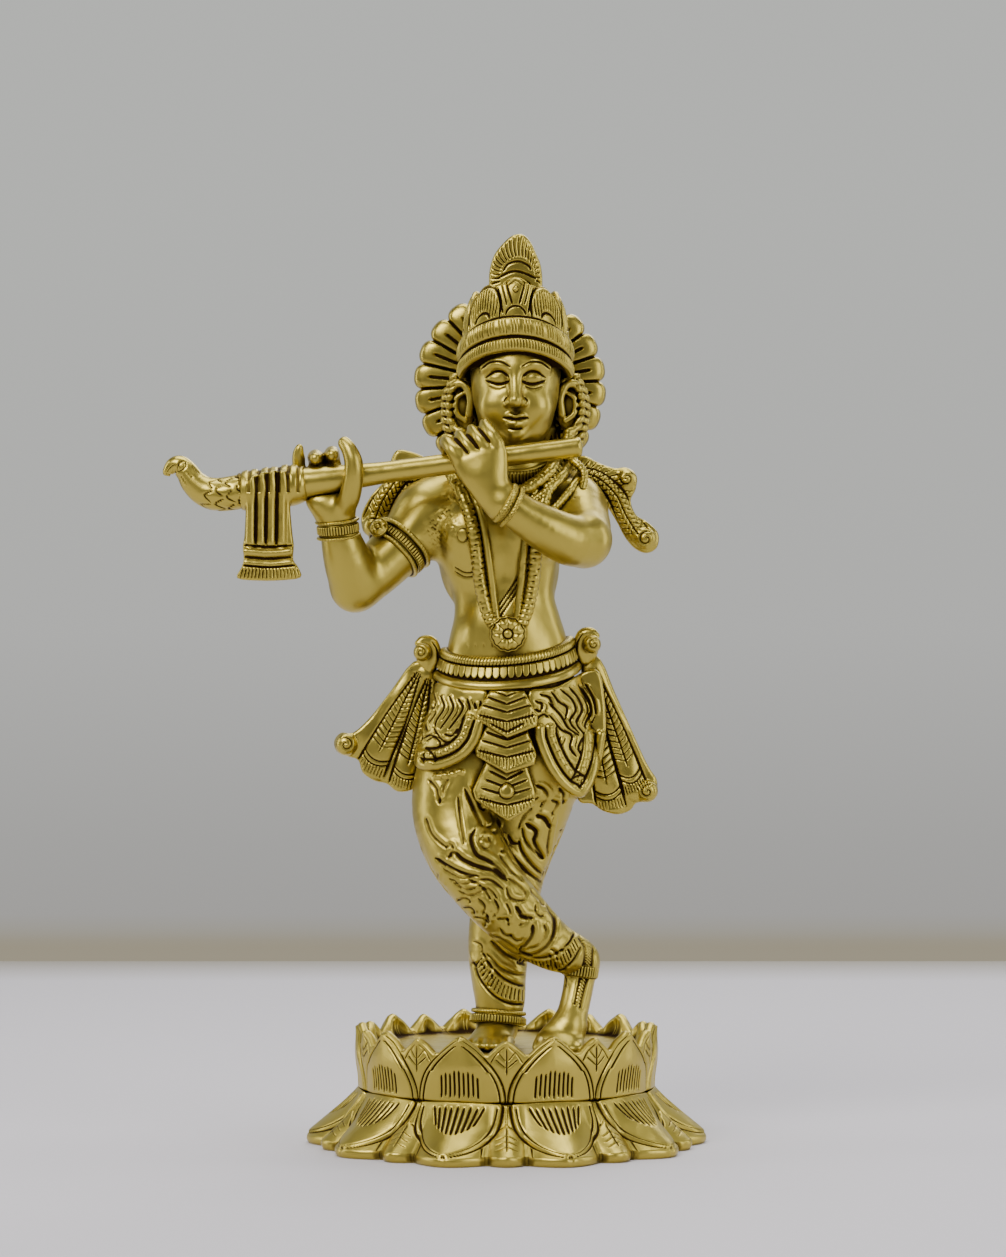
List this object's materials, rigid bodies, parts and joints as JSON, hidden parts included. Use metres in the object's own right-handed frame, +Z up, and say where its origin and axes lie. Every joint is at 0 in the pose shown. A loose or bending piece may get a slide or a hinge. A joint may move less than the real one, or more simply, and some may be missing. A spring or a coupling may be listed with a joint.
{
  "type": "hindu deity statue",
  "caption": "Cast brass flute-playing deity figurine with crown, halo, flared sashes and crossed legs, standing on a lotus base.",
  "frame": {"origin": "bottom centre of the whole object's bounding box, on the surface it stands on", "axes": "+Z up, -Y the way the figure faces, +X the figure's left-hand side; the flute reaches out towards -X and the lotus base's axis stands at X = +0.0195 m"},
  "size_m": [0.1508, 0.1072, 0.2534],
  "materials": {
    "body_brass": "polished antique brass, satin",
    "base_brass": "polished antique brass with engraved petals",
    "trim_brass": "engraved brass with dark patina in the recesses",
    "flute_brass": "polished brass",
    "screw_steel": "plain turned steel"
  },
  "bodies": {
    "statue": {"lotus_skirt": "base_brass", "lotus_cup": "base_brass", "foot_screw_standing": "screw_steel", "foot_screw_crossed": "screw_steel", "legs": "body_brass", "torso": "body_brass", "head": "body_brass", "crown": "trim_brass", "peacock_feather": "trim_brass", "halo": "trim_brass", "right_arm": "body_brass", "left_arm": "body_brass", "right_bracelet": "trim_brass", "left_bracelet": "trim_brass", "right_armlet": "trim_brass", "standing_anklet": "trim_brass", "crossed_anklet": "trim_brass", "belt": "trim_brass", "front_sash": "trim_brass", "right_hip_drape": "trim_brass", "left_hip_drape": "trim_brass", "right_hip_knot": "trim_brass", "left_hip_knot": "trim_brass", "right_side_panel": "trim_brass", "left_side_panel": "trim_brass", "right_shawl_end": "trim_brass", "left_shawl_end": "trim_brass", "garland": "trim_brass", "medallion": "trim_brass", "collar": "trim_brass"},
    "flute": {"flute": "flute_brass", "flute_cloth": "flute_brass"}
  },
  "joints": [
    {"name": "flute_slide", "type": "slide", "parent": "statue", "child": "flute", "axis": [-0.9912, 0, -0.1323], "range_m": [0, 0.07]}
  ]
}
